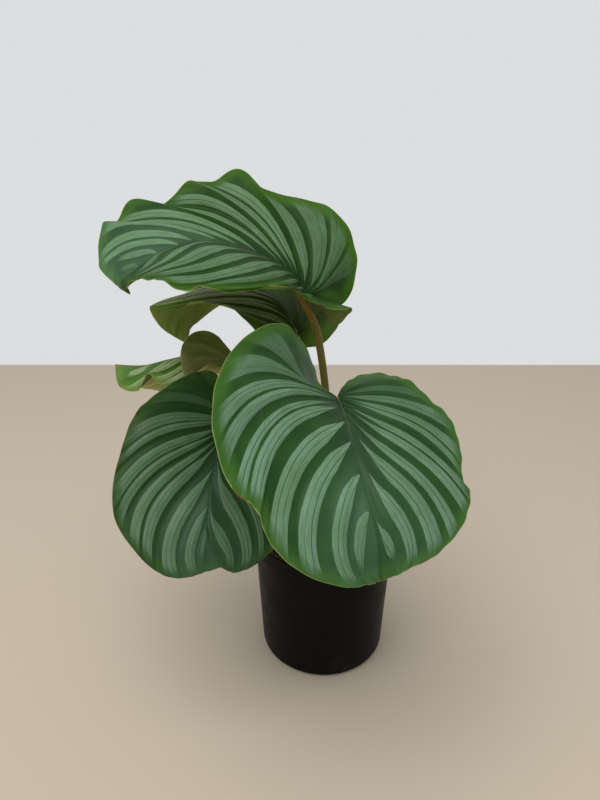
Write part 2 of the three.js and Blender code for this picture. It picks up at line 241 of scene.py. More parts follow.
under_rim = POT_HEIGHT - RIM_DEPTH
pot_outline = rounded([
    (0, 0, 0),
    (FOOT_RADIUS - 6 * WALL, 0, 0.4),
    (FOOT_RADIUS, 0, FOOT_ROUNDING),
    (BODY_TOP_RADIUS - 0.15, under_rim - 3, 0.8),
    (BODY_TOP_RADIUS, under_rim, 0.6),
    (RIM_RADIUS - 0.2, under_rim + 0.4, 0.9),
    (RIM_RADIUS, POT_HEIGHT - 3, 0.6),
    (RIM_RADIUS - 0.1, POT_HEIGHT, 0.9),
    (RIM_RADIUS - WALL, POT_HEIGHT, 0.7),
    (RIM_RADIUS - WALL - 0.2, under_rim + WALL, 1.2),
    (BODY_TOP_RADIUS - WALL, under_rim + 0.2, 1.0),
    (FOOT_RADIUS - WALL, WALL, FOOT_ROUNDING - WALL),
    (0, WALL, 0),
])
pot = piece_from("nursery_pot", *turned(pot_outline, POT_SIDES), moulded_polypropylene)

# A turn of half a side keeps the drill's corners off the edges of the pot's own faces.
half_side = Matrix.Rotation(math.pi / DRAIN_SIDES, 3, "Z")
drill_outline = [(0, -WALL), (DRAIN_RADIUS, -WALL), (DRAIN_RADIUS, 2 * WALL), (0, 2 * WALL)]
drill_points = []
drill_faces = []
for hole in range(DRAIN_COUNT):
    angle = 2 * math.pi * hole / DRAIN_COUNT
    across = DRAIN_CIRCLE * MM * Vector((math.cos(angle), math.sin(angle), 0))
    points, faces = turned(drill_outline, DRAIN_SIDES)
    drill_faces += [[k + len(drill_points) for k in face] for face in faces]
    drill_points += [half_side @ Vector(point) + across for point in points]
drill = piece_from("drill", drill_points, drill_faces, moulded_polypropylene)
cut = pot.modifiers.new("drain holes", "BOOLEAN")
cut.operation = "DIFFERENCE"
cut.solver = "EXACT"
cut.object = drill
settle(pot, 40)
bpy.data.objects.remove(drill)
fit(pot, "pot_plastic", "pot")

# Potting mix
# Peat and composted bark that fills the pot to 20 mm under its rim, with loose bark chips, white perlite
# and root fibres lying on it. It was pressed in round the roots by hand, so its surface is uneven.
GAP = 0.3
MIX_LEVEL = 130
MIX_SIDES = 150
MIX_RINGS = 46
CRUMB_HEIGHT = 2.5
STALK_FEET = [(4, -14), (8, 4), (-13, -7), (-1, 22), (-17, 11)]
SHEATH_RADIUS = 6.5
STALK_CLEARANCE = 5
WALL_CLEARANCE = 6
BED_STEPS = 60
FULL_TURN = 6.283
GRAIN_SIZES = ("Length", "Width", "Thickness", "Density", "Tilt", "Roughness", "Seed")


def inner_radius(height):
    """Radius of the pot's inside at a height, in mm."""
    return FOOT_RADIUS + (BODY_TOP_RADIUS - FOOT_RADIUS) * min(height / under_rim, 1) - WALL


def mix_height(x, y):
    """Height of the mix, in mm, at a point in plan: broad heaps with fine crumb on them."""
    coarse = math.sin(0.13 * x + 1.1) * math.sin(0.11 * y - 0.6)
    fine = math.sin(0.41 * x + 0.23 * y) * math.sin(0.37 * y - 0.19 * x + 0.8)
    crumb = noise.fractal(Vector((0.35 * x, 0.35 * y, 3.0)), 0.8, 2.1, 4)
    return MIX_LEVEL + CRUMB_HEIGHT * (1 + 0.5 * coarse + 0.5 * fine) + 1.1 * crumb


def earthy(name, dark, light, scale):
    """A dull, broken surface between two colours, mottled at this scale: peat, bark, perlite or root."""
    material, tree = new_material(name)
    place = add(tree, "ShaderNodeTexCoord", out="Object")
    mottle, pit = (
        add(tree, "ShaderNodeTexNoise", {"Vector": place, "Scale": size, "Detail": fine, "Roughness": rough})
        for size, fine, rough in ((scale, 6.0, 0.68), (4 * scale, 4.0, 0.5))
    )
    dull = add(tree, "ShaderNodeBsdfPrincipled", {
        "Base Color": coated(tree, paint(dark), (paint(light), (mottle, 0.34, 0.68))),
        "Roughness": 0.95,
        "Normal": add(tree, "ShaderNodeBump", {"Height": pit, "Strength": 0.7, "Distance": 0.0006}),
    })
    add(tree, "ShaderNodeOutputMaterial", {"Surface": dull})
    return material


# Damp peat is nearly black brown, composted bark red brown, perlite chalk white and root straw coloured.
damp_peat = earthy("damp_peat", 0x1B140E, 0x3A2A1D, 260.0)
composted_bark = earthy("composted_bark", 0x2C1C12, 0x6B4A30, 170.0)
expanded_perlite = earthy("expanded_perlite", 0xB9B4AA, 0xE9E6DE, 400.0)
dry_root = earthy("dry_root_fibre", 0x6A5236, 0xA88A5C, 300.0)

mix_floor = WALL + GAP
mix_outline = [(0, mix_floor), (inner_radius(mix_floor) - FOOT_ROUNDING + WALL, mix_floor)]
mix_outline.append((inner_radius(FOOT_ROUNDING) - GAP, FOOT_ROUNDING + GAP))
top_radius = inner_radius(MIX_LEVEL) - GAP
for ring in range(MIX_RINGS + 1):
    mix_outline.append((top_radius * (1 - ring / MIX_RINGS), MIX_LEVEL))
points, faces = turned(mix_outline, MIX_SIDES)
heaped = []
for x, y, z in points:
    if z > (MIX_LEVEL - GAP) * MM:
        z = mix_height(x / MM, y / MM) * MM
    heaped.append((x, y, z))
mix = piece_from("potting_mix_fill", heaped, faces, damp_peat, 60)
fit(mix, "potting_mix", "potting_mix")

# The loose grains lie on a copy of the surface that is kept clear of the stalks and of the wall. Their sizes
# and roughness are in metres, their density is in grains a square metre, and their tilt is in radians.
bed_points = []
bed_faces = []
bed_radius = top_radius - WALL_CLEARANCE
for row in range(BED_STEPS + 1):
    for column in range(BED_STEPS + 1):
        x = bed_radius * (2 * column / BED_STEPS - 1)
        y = bed_radius * (2 * row / BED_STEPS - 1)
        bed_points.append((x * MM, y * MM, mix_height(x, y) * MM))
for row in range(BED_STEPS):
    for column in range(BED_STEPS):
        first = row * (BED_STEPS + 1) + column
        face = [first, first + 1, first + BED_STEPS + 2, first + BED_STEPS + 1]
        middle = sum((Vector(bed_points[k]) for k in face), Vector()) / 4 / MM
        clear = min((Vector((x, y)) - middle.xy).length for x, y in STALK_FEET)
        if middle.xy.length < bed_radius and clear > SHEATH_RADIUS + STALK_CLEARANCE:
            bed_faces.append(face)


def grain_tree():
    """Geometry nodes that strew a surface with rough grains of a given length, width and thickness."""
    tree = bpy.data.node_groups.new("strewn grains", "GeometryNodeTree")
    kinds = {"Surface": "Geometry", "Seed": "Int", "Finish": "Material"}
    for name in ("Surface", *GRAIN_SIZES, "Finish"):
        tree.interface.new_socket(name, in_out="INPUT", socket_type="NodeSocket" + kinds.get(name, "Float"))
    tree.interface.new_socket("Grains", in_out="OUTPUT", socket_type="NodeSocketGeometry")
    given = add(tree, "NodeGroupInput").node.outputs
    sockets = {"Mesh": given["Surface"], "Density": given["Density"], "Seed": given["Seed"]}
    spots = add(tree, "GeometryNodeDistributePointsOnFaces", sockets)
    ball = add(tree, "GeometryNodeMeshUVSphere", {"Segments": 8, "Rings": 5, "Radius": 0.5})
    size = add(tree, "ShaderNodeCombineXYZ", {0: given["Length"], 1: given["Width"], 2: given["Thickness"]})
    vary = add(tree, "FunctionNodeRandomValue", {2: 0.55, 3: 1.35, "Seed": given["Seed"]})
    size = add(tree, "ShaderNodeVectorMath", {0: size, "Scale": vary}, operation="SCALE")
    least = add(tree, "ShaderNodeMath", {0: given["Tilt"], 1: -1.0}, operation="MULTIPLY")
    low = add(tree, "ShaderNodeCombineXYZ", {0: least, 1: least, 2: 0.0})
    high = add(tree, "ShaderNodeCombineXYZ", {0: given["Tilt"], 1: given["Tilt"], 2: FULL_TURN})
    sockets = {0: low, 1: high, "Seed": given["Seed"]}
    turn = add(tree, "FunctionNodeRandomValue", sockets, data_type="FLOAT_VECTOR")
    sockets = {"Points": spots, "Instance": ball, "Rotation": turn, "Scale": size}
    real = add(tree, "GeometryNodeRealizeInstances", {0: add(tree, "GeometryNodeInstanceOnPoints", sockets)})
    place = add(tree, "GeometryNodeInputPosition")
    rough = add(tree, "ShaderNodeTexNoise", {"Vector": place, "Scale": 330.0, "Detail": 2.0}, "Color")
    rough = add(tree, "ShaderNodeVectorMath", {0: rough, 1: (0.5, 0.5, 0.5)}, operation="SUBTRACT")
    rough = add(tree, "ShaderNodeVectorMath", {0: rough, "Scale": given["Roughness"]}, operation="SCALE")
    broken = add(tree, "GeometryNodeSetPosition", {"Geometry": real, "Offset": rough})
    finished = add(tree, "GeometryNodeSetMaterial", {"Geometry": broken, "Material": given["Finish"]})
    add(tree, "NodeGroupOutput", {0: finished})
    return tree


strewn_grains = grain_tree()
for name, finish, *sizes in (
    ("bark_chips", composted_bark, 0.0085, 0.0048, 0.0026, 26000.0, 0.45, 0.0028, 4),
    ("peat_crumbs", damp_peat, 0.0032, 0.0028, 0.0022, 120000.0, 1.5, 0.0016, 11),
    ("perlite_grains", expanded_perlite, 0.0031, 0.0027, 0.0023, 5200.0, 1.5, 0.0014, 23),
    ("root_fibres", dry_root, 0.015, 0.0007, 0.0006, 3600.0, 0.14, 0.003, 37),
):
    piece = piece_from(name, bed_points, bed_faces, finish)
    modifier = piece.modifiers.new("strewn", "NODES")
    modifier.node_group = strewn_grains
    given = dict(zip(GRAIN_SIZES, sizes), Finish=finish)
    for socket in strewn_grains.interface.items_tree:
        if socket.name in given:
            modifier[socket.identifier] = given[socket.name]
    settle(piece, 50)
    fit(piece, "potting_mix")

# Front leaf
# The biggest leaf, held out in front of the pot with one half folded up and the other nearly level. A living
# blade half a millimetre thick on a round stalk that rises from a sheath in the mix to a swollen joint.
BLADE_THICKNESS = 0.55
EDGE_ROUNDING = 0.3
KEEL_DEPTH = 2.7
KEEL_WIDTH = 2.3
GROOVE_DEPTH = 0.5
GROOVE_WIDTH = 1.3
PLEAT_HEIGHT = 1.15
SWELL_HEIGHT = 0.3
RIPPLE_HEIGHT = 0.9
EVEN_PART = 0.04
VEIN_SWEEP = 0.16
TRAIL_REACH = 0.085
LEAD_REACH = 0.16
WAVE_SPAN = 0.09
GATHER_RISE = (0, 0.055)
GATHER_FALL = (0.17, 0.42)
GATHER_PEAK = 4 / 27
BAND_POINT = ([0.3, 0.6, 0.8, 0.95], [0.19, 0.2, 0.24, 0.33])
POINT_BLUNTNESS = 0.7
ONE_HAIRLINE = 0.022
TWO_HAIRLINES = 0.034
ROW_SPACING = 0.0052
CLOSEST_ROWS = 0.0009
BEND_ROWS = [0, 0.17, 0.33, 0.5, 0.67, 0.83, 0.96, 1]
COLUMNS = np.array([
    0, 0.004, 0.01, 0.018, 0.03, 0.045, 0.065, 0.09, 0.12, 0.155, 0.19, 0.225, 0.26, 0.3, 0.34, 0.38, 0.42,
    0.46, 0.5, 0.54, 0.58, 0.62, 0.66, 0.7, 0.74, 0.78, 0.82, 0.855, 0.885, 0.91, 0.932, 0.952, 0.97, 0.984,
    0.994, 1,
])
SIGNS = {"left": 1, "right": -1}
STALK_SIDES = 20
STALK_STEPS = 120
STALK_RADIUS = 3.7
ROOT_DEPTH = 26
SHEATH_END = (0.1, 0.4)
FURROW_DEPTH = 0.1
FURROW_END = (0.8, 0.9)
PULVINUS_RADIUS = 4.4
PULVINUS_START = (0.82, 0.88)
PULVINUS_END = (0.93, 1)
NECK_DEPTH = 2.8


def along(points, share):
    """Points on the smooth curve through the given ones. Shares from 0 to 1 count each stretch alike."""
    knots = np.asarray(points, float)
    knots = np.vstack([2 * knots[0] - knots[1], knots, 2 * knots[-1] - knots[-2]])
    place = np.clip(share, 0.0, 1.0) * (len(points) - 1)
    first = np.minimum(place.astype(int), len(points) - 2)
    t = (place - first)[..., None]
    a, b, c, d = (knots[first + k] for k in range(4))
    return 0.5 * (2 * b + (c - a) * t + (2 * a - 5 * b + 4 * c - d) * t**2 + (3 * b - a - 3 * c + d) * t**3)


def unit(vectors):
    """The same vectors, one long."""
    return vectors / np.maximum(np.linalg.norm(vectors, axis=-1, keepdims=True), 1e-9)


def heading(points, share):
    """Direction of the smooth curve through the points."""
    return unit(along(points, np.minimum(share + 0.002, 1)) - along(points, np.maximum(share - 0.002, 0)))


def eased(value, start, end):
    """0 up to start, 1 from end on, and smooth between."""
    share = np.clip((value - start) / (end - start), 0.0, 1.0)
    return share * share * (3 - 2 * share)


def evenly(values, row):
    """Values given at even steps from the joint to the tip, at these rows."""
    return np.interp(row, np.linspace(0, 1, len(values)), values)


def rooted(leaf, row):
    """Where rows start on the midrib. Most start near the joint, as the side veins of this round leaf do."""
    return EVEN_PART * row + (1 - EVEN_PART) * row ** leaf["fan"]


def half_sheet(leaf, word, row, column):
    """Points of the left or right half of a blade, in mm. A row runs like a side vein, from the midrib to the
    margin, and bows up and towards the tip on its way. The margin's fast waves fade towards the midrib. A
    gathered lobe is drawn in beside the joint, most at a third of the way out."""
    left, right, side = ([*leaf[key], leaf["midrib"][-1]] for key in ("left", "right", word))
    share = rooted(leaf, row)
    root = along(leaf["midrib"], share)
    steady = np.clip(row, 0.3, 0.93)
    crown = unit(np.cross(heading(leaf["midrib"], share), along(left, steady) - along(right, steady)))
    edge = along(side, row)
    span = np.minimum(WAVE_SPAN, np.minimum(row, 1 - row))
    smoothed = ((along(side, row - span) + along(side, row + span)) / 2 + edge) / 2
    chord = smoothed - root
    ahead = unit(chord)
    up = unit(crown - ahead * (crown * ahead).sum(-1, keepdims=True))
    back = np.cross(up, chord) * SIGNS[word]
    bow = 2 * column * (1 - column) * eased(row, 0.0, 0.25)
    rise = bow * evenly(leaf[word + "_arch"], row) * np.linalg.norm(chord, axis=-1)
    points = root + chord * column[..., None] + up * rise[..., None] + back * (bow * VEIN_SWEEP)[..., None]
    gathered = column * (1 - column) ** 2 / GATHER_PEAK
    gathered *= eased(row, *GATHER_RISE) * (1 - eased(row, *GATHER_FALL))
    points += np.array(leaf[word + "_gather"]) * gathered[..., None]
    return points + (edge - smoothed) * (column**3)[..., None]


def nearest(points, line):
    """Distance of each point from a line of points."""
    found = np.full(points.shape[:-1], 1e9)
    for spot in line:
        found = np.minimum(found, ((points - spot) ** 2).sum(-1))
    return np.sqrt(found)


def hairlines(start, end):
    """Where the thin dark veins run along a silver band: two in a wide one, one in a narrower one."""
    width = end - start
    places = [] if width < ONE_HAIRLINE else [0.55] if width < TWO_HAIRLINES else [0.34, 0.7]
    return [start + place * width for place in places]


def bands_at(bands, row, column, pull):
    """The silver bands of one half: how far a point is inside its nearest one, in rows, how silver that is,
    and how far its nearest hairline is. Pull is where the bands start and end between midrib and margin. They
    start in a blunt point and end in a fade, and no two start or end quite alike."""
    inside = np.full(row.shape, -1.0)
    hair = np.full(row.shape, 1.0)
    silver = np.zeros(row.shape)
    closest = np.full(row.shape, 1e9)
    for k, (start, end, strength) in enumerate(bands):
        centre = (start + end) / 2
        half = (end - start) / 2
        opens = np.interp(centre, *pull[0]) + 0.02 * math.sin(5.1 * k)
        closes = np.interp(centre, *pull[1]) + 0.03 * math.sin(3.3 * k + 1)
        taper = np.clip((column - opens) / np.interp(centre, *BAND_POINT), 0, 1) ** POINT_BLUNTNESS
        taper -= np.maximum(opens - column, 0) / 0.1 + 0.5 * eased(column, closes - 0.25, closes + 0.1)
        inside = np.maximum(inside, half * taper - np.abs(row - centre))
        off = np.maximum(np.abs(row - centre) - half, 0)
        faded = strength * (1 - eased(column, closes - 0.12, closes + 0.08))
        silver = np.where(off < closest, faded, silver)
        closest = np.minimum(closest, off)
        for nth, line in enumerate(hairlines(start, end)):
            hair = np.minimum(hair, np.abs(row - line) + 0.0005 * ((nth + k) % 2))
    return inside, silver, hair


def band_stops(bands):
    """Each band's start and end, and where the next one starts, or the tip."""
    starts = [start for start, _, _ in bands] + [1.0]
    return [(start, end, after) for (start, end, _), after in zip(bands, starts[1:])]


def pleat(bands, row):
    """Height of a blade's pleats, from -1 to 1: a ridge along each silver band, a furrow between two."""
    knots = [0.0]
    heights = [0.0]
    for start, end, after in band_stops(bands):
        knots += [(start + end) / 2, (end + after) / 2]
        heights += [1.0, -min((after - end) / 0.03, 1.0) if after - end > 0.012 else 0.35]
    knots.append(1.0)
    heights.append(0.0)
    place = np.clip(np.searchsorted(knots, row, side="right") - 1, 0, len(knots) - 2)
    start = np.take(knots, place)
    share = eased((row - start) / np.maximum(np.take(knots, place + 1) - start, 1e-6), 0.0, 1.0)
    return np.take(heights, place) * (1 - share) + np.take(heights, place + 1) * share


def blade_rows(leaf):
    """The rows of a blade: on every edge and middle of a band, so that bands stay sharp, and between."""
    keys = {0.0, 1.0}
    for start, end, after in band_stops(leaf["left_bands"]) + band_stops(leaf["right_bands"]):
        keys |= {start, (start + end) / 2, end, (end + after) / 2, *hairlines(start, end)}
    rows = [0.0]
    for key in sorted(keys)[1:]:
        if key - rows[-1] < CLOSEST_ROWS:
            continue
        steps = math.ceil((key - rows[-1]) / ROW_SPACING)
        rows += [rows[-1] + (key - rows[-1]) * step / steps for step in range(1, steps + 1)]
    rows[-1] = 1.0
    return np.array(rows)


def grown_blade(name, leaf, finish):
    """A whole blade: an upper and a lower face half a millimetre apart with a rounded edge between, pleated
    along its bands, with a furrow over the midrib, a keel under it, and the marks that its finish reads."""
    rows = blade_rows(leaf)
    row, column = np.meshgrid(rows, COLUMNS, indexing="ij")
    last_row = len(rows) - 1
    last_column = len(COLUMNS) - 1
    spine = along(leaf["midrib"], np.linspace(0, 1, 160))
    halves = {}
    marks = {}
    for word, sign in SIGNS.items():
        # A side vein trails its row at the midrib, leads it further out, and sweeps on at the margin.
        trail, lead, sweep = (np.interp(row, BEND_ROWS, reach) for reach in leaf[word + "_bend"])
        veins = row - trail * np.exp(-column / TRAIL_REACH) + sweep * column**5
        veins += lead * (column / LEAD_REACH) * np.exp(1 - column / LEAD_REACH) * (1 - column)
        sheet = half_sheet(leaf, word, veins, column)
        sheet[-1] = sheet[-1, 0]
        down_rows = np.gradient(sheet, rows, axis=0)
        over = np.cross(down_rows, np.gradient(sheet, COLUMNS, axis=1)) * sign
        over[-1] = over[-2, 2]
        bands = leaf[word + "_bands"]
        crest = np.sin(np.pi * column)
        relief = PLEAT_HEIGHT * pleat(bands, row) * crest**0.6 * eased(row, 0.02, 0.25)
        swell = np.sin(21 * row + 6 * column + leaf["seed"]) * np.sin(8 * column + 5 * row)
        relief += SWELL_HEIGHT * swell * crest
        ripple = np.sin(57 * row + leaf["seed"]) + 0.7 * np.sin(131 * row + 2 * leaf["seed"] + sign)
        relief += RIPPLE_HEIGHT * leaf["ripple"] * ripple * column**7 * eased(row, 0, 0.08)
        halves[sign] = (sheet, unit(over), relief * (1 - eased(row, 0.93, 1)))
        inside, silver, hair = bands_at(bands, row, column, leaf[word + "_pull"])
        pitch = np.linalg.norm(down_rows, axis=-1)
        marks[sign] = {
            "band": inside * pitch,
            "silver": silver,
            "hair": hair * pitch,
            "bare": evenly(leaf[word + "_bare"], row),
            "grain": np.stack([row, column, 0 * row + sign * leaf["seed"]], -1),
            "rib": nearest(sheet, spine),
        }
    crown = unit(halves[1][1][:, 0] + halves[-1][1][:, 0])
    margins = [halves[sign][0][:, -1] for sign in halves] + [halves[sign][0][0] for sign in halves]
    for sign, mark in marks.items():
        mark["edge"] = nearest(halves[sign][0], np.vstack(margins))

    points = []
    values = {}
    numbers = {}
    for level in (1, -1):
        for sign, (sheet, over, relief) in halves.items():
            over[:, 0] = crown
            over[-1] = crown[-2]
            mark = {**marks[sign], "under": np.full(row.shape, (1 - level) / 2)}
            lift = relief + level * BLADE_THICKNESS / 2
            if level > 0:
                lift -= GROOVE_DEPTH * np.exp(-((mark["rib"] / GROOVE_WIDTH) ** 2))
            else:
                lift -= KEEL_DEPTH * (1 - rooted(leaf, row)) * np.exp(-((mark["rib"] / KEEL_WIDTH) ** 2))
            placed = sheet + over * lift[..., None]
            grid = np.zeros(row.shape, int)
            for i in range(last_row + 1):
                for j in range(last_column + 1):
                    if j == 0 and sign < 0:
                        grid[i, 0] = numbers[level, 1][i, 0]
                    elif i == last_row and j > 0:
                        grid[i, j] = grid[i, 0]
                    else:
                        grid[i, j] = len(points)
                        points.append(placed[i, j])
                        for key, found in mark.items():
                            values.setdefault(key, []).append(found[i, j])
            numbers[level, sign] = grid

    faces = []
    for (level, sign), grid in numbers.items():
        for i in range(last_row):
            for j in range(last_column):
                face = [grid[i, j], grid[i, j + 1], grid[i + 1, j + 1], grid[i + 1, j]]
                face = list(dict.fromkeys(int(k) for k in face))
                faces.append(face if level * sign < 0 else face[::-1])

    # The border goes once round, from the tip to the joint on one half and back on the other. Each point
    # comes with the one further in, which tells which way is out.
    border = [(1, i, last_column, i, last_column - 1) for i in range(last_row - 1, -1, -1)]
    border += [(1, 0, j, 1, j) for j in range(last_column - 1, -1, -1)]
    border += [(-1, 0, j, 1, j) for j in range(1, last_column + 1)]
    border += [(-1, i, last_column, i, last_column - 1) for i in range(1, last_row)]
    border.append((-1, last_row, 0, last_row - 1, 0))
    rim = []
    for sign, i, j, inner_i, inner_j in border:
        upper = int(numbers[1, sign][i, j])
        lower = int(numbers[-1, sign][i, j])
        outward = unit(points[upper] - points[numbers[1, sign][inner_i, inner_j]])
        rim.append((upper, len(points), lower))
        points.append((points[upper] + points[lower]) / 2 + outward * BLADE_THICKNESS * EDGE_ROUNDING)
        for key, found in values.items():
            found.append({"edge": 0.0, "under": 0.5}.get(key, found[upper]))
    for here, after in zip(rim, rim[1:] + rim[:1]):
        faces.append([here[0], after[0], after[1], here[1]])
        faces.append([here[1], after[1], after[2], here[2]])

    return piece_from(name, np.array(points) * MM, faces, finish, 180, values)


def grown_stalk(name, leaf, finish):
    """A round stalk: a sheath in the mix, a long even shaft, and a swollen joint under the blade's base."""
    x, y = leaf["root"]
    base = np.array(leaf["midrib"][0], float)
    ahead = heading(leaf["midrib"], np.array(0.0))
    under = unit(np.array([0, 0, -1.0]) + ahead * ahead[2])
    path = [[x, y, MIX_LEVEL - ROOT_DEPTH], [x, y, MIX_LEVEL + 2 * CRUMB_HEIGHT], *leaf["stalk"]]
    path.append(base + under * (STALK_RADIUS + 1.5))
    path.append(base + ahead * 2 * PULVINUS_RADIUS + under * PULVINUS_RADIUS)
    share = np.linspace(0, 1, STALK_STEPS + 1)
    line = along(path, share)
    ahead = unit(np.gradient(line, axis=0))
    side = unit(np.cross(ahead, np.array([0.3, 1.0, 0.2])))
    other = np.cross(ahead, side)
    radius = STALK_RADIUS + (SHEATH_RADIUS - STALK_RADIUS) * (1 - eased(share, *SHEATH_END))
    radius += (PULVINUS_RADIUS - STALK_RADIUS) * eased(share, *PULVINUS_START)
    radius -= NECK_DEPTH * eased(share, *PULVINUS_END)
    points = []
    heights = []
    for k in range(STALK_STEPS + 1):
        furrow = FURROW_DEPTH * (1 - eased(share[k], *FURROW_END))
        for step in range(STALK_SIDES):
            angle = 2 * math.pi * step / STALK_SIDES
            reach = radius[k] * (1 - furrow * math.exp(-((angle - 1.2) / 0.3) ** 2))
            points.append(line[k] + (side[k] * math.cos(angle) + other[k] * math.sin(angle)) * reach)
            heights.append(share[k] * leaf["ripeness"])
    faces = []
    for low in range(0, STALK_STEPS * STALK_SIDES, STALK_SIDES):
        high = low + STALK_SIDES
        for step in range(STALK_SIDES):
            after = (step + 1) % STALK_SIDES
            faces.append([low + step, low + after, high + after, high + step])
    for k, order in ((0, -1), (STALK_STEPS, 1)):
        ring = [k * STALK_SIDES + step for step in range(STALK_SIDES)]
        middle = len(points)
        points.append(line[k] + ahead[k] * order * radius[k] * 0.35)
        heights.append(share[k] * leaf["ripeness"])
        faces += [[here, after, middle][::order] for here, after in zip(ring, ring[1:] + ring[:1])]
    return piece_from(name, np.array(points) * MM, faces, finish, 180, {"rise": heights})


def grow(name, leaf, skin, slot="leaf_blade"):
    """Grows a leaf as two pieces, its blade and its stalk, each in the place of its CAD node."""
    fit(grown_blade(name + "_blade", leaf, skin), slot, name + "_leaf_blade")
    fit(grown_stalk(name + "_stalk", leaf, fleshy_stalk), "leaf_stalk", name + "_leaf_stalk")


def leaf_skin(name, shades, gloss=0.24):
    """A living leaf. Its waxy skin gives the upper side a soft broad gloss, and its silver bands are air
    under that skin. The lower side is duller, and some light comes through the blade."""
    material, tree = new_material(name)
    tone = {key: paint(shade) for key, shade in shades.items()}
    place = add(tree, "ShaderNodeTexCoord", out="Object")
    vein = add(tree, "ShaderNodeAttribute", out="Vector", attribute_name="grain")
    row = add(tree, "ShaderNodeSeparateXYZ", {0: vein}, "X")
    half = add(tree, "ShaderNodeSeparateXYZ", {0: vein}, "Z")
    band, strength, bare, hair, rib, edge, under = (
        add(tree, "ShaderNodeAttribute", out="Fac", attribute_name=key)
        for key in ("band", "silver", "bare", "hair", "rib", "edge", "under")
    )

    # Streaks run with the veins: about one a millimetre across, and many times as long.
    stretched = add(tree, "ShaderNodeVectorMath", {0: vein, 1: (260.0, 7.0, 1.0)}, operation="MULTIPLY")
    drawn = add(tree, "ShaderNodeVectorMath", {0: vein, 1: (34.0, 11.0, 1.0)}, operation="MULTIPLY")
    streak, ragged, cloud, nick, cell = (
        add(tree, "ShaderNodeTexNoise", {"Vector": spot, "Scale": scale, "Detail": fine})
        for spot, scale, fine in (
            (stretched, 1.0, 3.0), (drawn, 1.0, 3.0), (place, 28.0, 3.0), (place, 46.0, 2.0),
            (place, 1500.0, 1.0),
        )
    )

    # A band's edge wanders by half a millimetre, and its outer end fades into the green of the margin.
    wander = add(tree, "ShaderNodeMath", {0: ragged, 1: 1.6, 2: -0.8}, operation="MULTIPLY_ADD")
    inside = add(tree, "ShaderNodeMath", {0: band, 1: wander}, operation="ADD")
    beyond = add(tree, "ShaderNodeMath", {0: edge, 1: bare}, operation="SUBTRACT")
    outer = add(tree, "ShaderNodeMath", {0: wander, 1: -5.625, 2: beyond}, operation="MULTIPLY_ADD")
    silver = amount(tree, (inside, -0.35, 0.45), strength, (outer, -4.5, 5.5))

    # Green is lightest at the margin and darkest along the midrib. Silver is streaked with green.
    green = coated(
        tree, tone["margin"], (tone["green"], (outer, -5.0, 9.0)),
        (tone["deep"], (rib, 26.0, 4.0), (row, 1.0, 0.6)), (tone["margin"], (cloud, 0.42, 0.7, 0.0, 0.25)),
    )
    pale = coated(
        tree, tone["silver"], (tone["frost"], (cloud, 0.35, 0.65)),
        (tone["vein"], (streak, 0.42, 0.66, 0.0, 0.5)), (tone["vein"], (ragged, 0.5, 0.75, 0.0, 0.4)),
    )

    # Dark hairlines cross the silver and the midrib is pale. The left half is painted a little darker
    # as shade, and a faint painted sheen, a bluish reflection, lies towards the tip, more of it on the
    # right half.
    upper = coated(
        tree, green, (pale, silver), (tone["deep"], (hair, 0.62, 0.14), silver, 0.85),
        (tone["midrib"], (rib, 1.3, 0.4), (ragged, 0.2, 0.75), (row, 0.86, 0.66)),
        (tone["deep"], (half, -0.1, 0.1, 0.0, 0.09)),
        (tone["tip_sheen"], (row, 0.62, 0.92), (half, 0.1, -0.1, 0.08, 0.15)),
    )

    # From below, the bands show faintly through the olive, and the midrib stands out pale. Away from
    # the midrib, most on the right half, the olive turns to the margin shade; on the young leaf that
    # shade is painted light.
    wider = amount(tree, (half, 0.1, -0.1, 0.0, 18.0))
    far = add(tree, "ShaderNodeMath", {0: wider, 1: rib}, operation="ADD")
    lower = coated(
        tree, tone["back_margin_and_light"], (tone["back"], (far, 44.0, 24.0)), (tone["back_band"], silver, 0.4),
        (tone["back_band"], (streak, 0.4, 0.7, 0.0, 0.35)), (tone["deep"], (hair, 0.6, 0.2, 0.0, 0.35)),
        (tone["back_rib"], (rib, 3.2, 1.4, 0.0, 0.85)),
    )

    # The margin is a pale line half a millimetre wide, with dry brown nicks here and there, most at the tip.
    at_tip = amount(tree, (row, 0.92, 0.985, 0.0, 0.13))
    worn = add(tree, "ShaderNodeMath", {0: at_tip, 1: nick}, operation="ADD")
    below = amount(tree, (under, 0.45, 0.55))
    colour = coated(
        tree, upper, (lower, below), (tone["line"], (edge, 0.75, 0.3, 0.0, 0.7)),
        (tone["dry"], (worn, 0.62, 0.69), (edge, 1.4, 0.5)),
    )

    # The skin is duller below, swells over each band, and has fine streaks, cells and sunken hairlines.
    roughness = 0.3
    for value, weight in ((cloud, 0.16), (below, 0.24)):
        roughness = add(tree, "ShaderNodeMath", {0: value, 1: weight, 2: roughness}, operation="MULTIPLY_ADD")
    raised = 0.0
    for value, weight in ((cell, 0.25), (streak, 0.7), (amount(tree, (hair, 0.9, 0.1)), -0.6)):
        raised = add(tree, "ShaderNodeMath", {0: value, 1: weight, 2: raised}, operation="MULTIPLY_ADD")
    puffed = amount(tree, (inside, -2.4, 2.4))
    swell = add(tree, "ShaderNodeBump", {"Height": puffed, "Strength": 0.6, "Distance": 0.0007})
    sockets = {"Height": raised, "Strength": 0.6, "Distance": 0.00025, "Normal": swell}
    relief = add(tree, "ShaderNodeBump", sockets)
    sockets = {"Base Color": colour, "Roughness": roughness, "Normal": relief, "IOR": 1.42}
    skin = add(tree, "ShaderNodeBsdfPrincipled", {**sockets, "Specular IOR Level": gloss})
    glow = coated(tree, colour, (tone["glow"], 0.35))
    through = add(tree, "ShaderNodeBsdfTranslucent", {"Color": glow, "Normal": relief})
    flesh = add(tree, "ShaderNodeMixShader", {0: 0.3, 1: skin, 2: through})
    add(tree, "ShaderNodeOutputMaterial", {"Surface": flesh})
    return material
